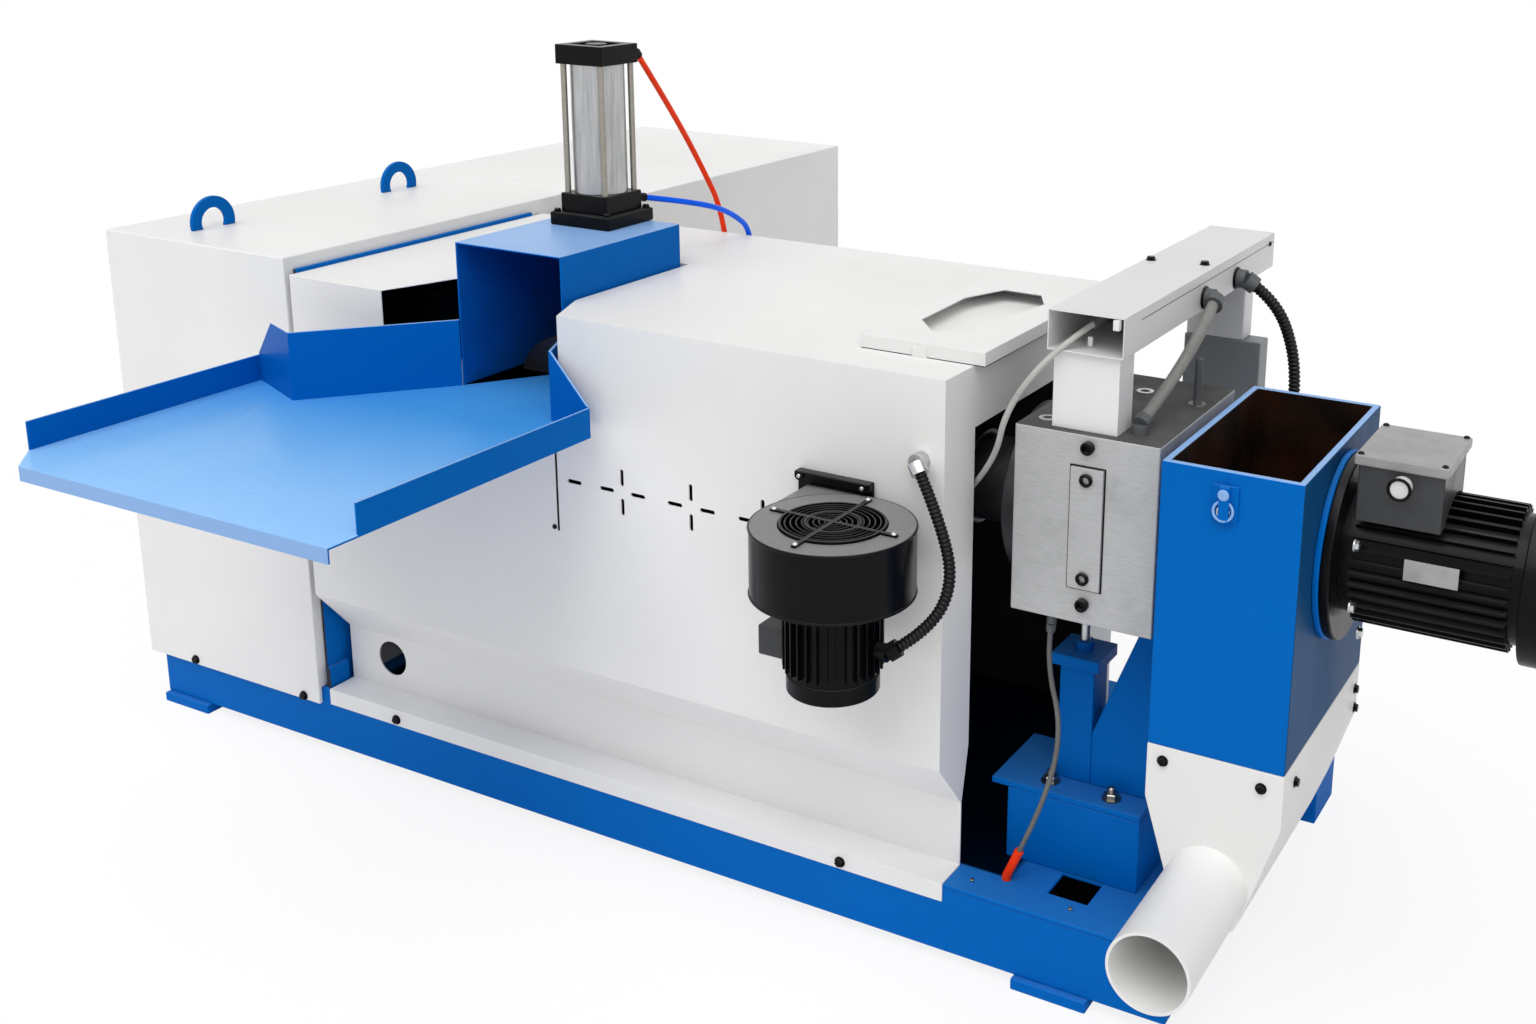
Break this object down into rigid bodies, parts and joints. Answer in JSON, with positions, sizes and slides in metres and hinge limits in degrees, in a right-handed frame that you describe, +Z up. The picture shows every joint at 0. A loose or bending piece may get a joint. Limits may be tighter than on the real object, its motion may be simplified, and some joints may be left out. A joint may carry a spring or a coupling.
{
  "type": "plastic pelletizing machine",
  "caption": "Plastic recycling pelletizer: feed tray and rammed hood, covered extruder barrel, die block, die-face cutter box with motor, discharge chute and drive cabinet on a steel base.",
  "frame": {"origin": "front left corner of the base frame, on the floor under its foot", "axes": "+X along the machine from the cabinet to the cutter motor, +Y from the front of the base to the rear, +Z up"},
  "size_m": [2.997, 2.498, 1.51],
  "materials": {
    "aluminium": "satin anodised",
    "black_paint": "semi-gloss paint",
    "black_rubber": "ribbed",
    "blue_paint": "semi-gloss paint",
    "blue_tube": "gloss",
    "bright_steel": "bright",
    "dark_steel": "dark oxide",
    "die_grey": "satin, ground",
    "grey_paint": "satin paint",
    "grey_plastic": "matt",
    "grey_rubber": "smooth",
    "light_grey_paint": "satin paint",
    "red_tube": "gloss",
    "white_paint": "satin powder coat"
  },
  "bodies": {
    "root": {"air_tube_blue": "blue_tube", "air_tube_red": "red_tube", "barrel": "dark_steel", "barrel_cover": "white_paint", "barrel_flange": "dark_steel", "base_deck": "blue_paint", "base_feet": "blue_paint", "base_frame": "blue_paint", "blower_bracket": "black_paint", "blower_conduit": "black_rubber", "blower_grille": "black_paint", "blower_housing": "black_paint", "blower_motor": "black_paint", "blower_motor_cap": "black_paint", "cable_duct": "light_grey_paint", "cable_fittings": "grey_plastic", "cutter_box": "blue_paint", "cutter_conduit": "black_rubber", "cutter_lid": "white_paint", "cutter_motor": "black_paint", "die_block": "die_grey", "die_collar": "dark_steel", "die_conduit": "grey_rubber", "discharge_chute": "white_paint", "drive_cabinet": "white_paint", "duct_far_leg": "light_grey_paint", "duct_lid": "light_grey_paint", "duct_near_leg": "white_paint", "earth_cable": "black_rubber", "earth_lug": "red_tube", "feed_hood": "blue_paint", "feed_roller": "dark_steel", "feed_tray": "blue_paint", "gearbox": "black_paint", "gearbox_cover": "white_paint", "heater_band": "dark_steel", "heater_lead": "grey_rubber", "jack_screw": "bright_steel", "latches": "bright_steel", "lifting_eyes": "blue_paint", "motor_cowl": "black_paint", "motor_flange": "black_paint", "motor_ring": "blue_paint", "motor_terminal_box": "grey_plastic", "outlet_pipe": "white_paint", "pedestal": "blue_paint", "pedestal_plate": "blue_paint", "post_cap": "blue_paint", "ram_flange": "black_paint", "ram_lower_cap": "black_paint", "ram_tie_rods": "bright_steel", "ram_tube": "aluminium", "ram_upper_cap": "black_paint", "rear_cabinet": "white_paint", "screen_slide": "die_grey", "side_plate": "blue_paint", "slide_cylinder": "grey_paint", "slide_end_plate": "grey_paint", "support_gussets": "blue_paint", "support_post": "blue_paint"}
  },
  "joints": []
}
